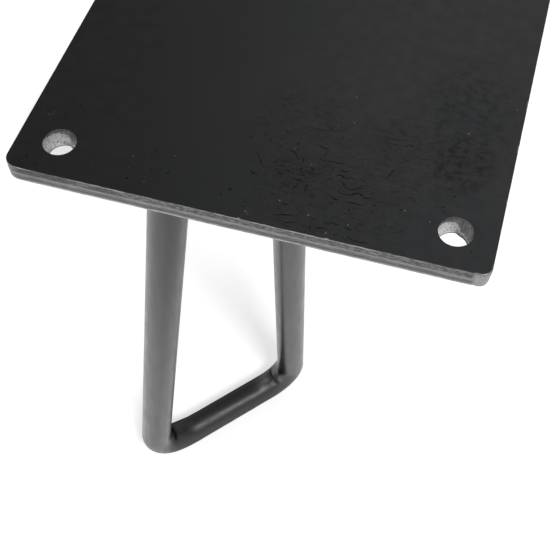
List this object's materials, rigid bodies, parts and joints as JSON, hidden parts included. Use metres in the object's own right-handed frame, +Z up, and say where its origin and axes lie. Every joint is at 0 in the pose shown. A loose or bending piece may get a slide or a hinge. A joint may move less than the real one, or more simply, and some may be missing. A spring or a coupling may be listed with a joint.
{
  "type": "bent rod table leg",
  "caption": "Table leg of round steel bar bent into a flared, leaning frame with a flat foot, welded under the corner of a square mounting plate with screw holes near its corners.",
  "frame": {"origin": "centre of the mounting plate's top face, which is also the centre of its hole pattern", "axes": "+Z up out of the plate's top face into the table top; X and Y along the plate's edges; the rod frame hangs below and leans out under the corner at -X +Y"},
  "size_m": [0.128, 0.13, 0.3048],
  "materials": {
    "plate_steel": "bare hot-rolled plate with black mill scale, brighter cut edges and punched hole walls",
    "rod_steel": "bare round bar, satin dark grey",
    "weld_steel": "bare rippled weld with heat tint"
  },
  "bodies": {
    "root": {"mounting_plate": "plate_steel", "bent_rod": "rod_steel", "weld_bead_left": "weld_steel", "weld_bead_right": "weld_steel"}
  },
  "joints": []
}
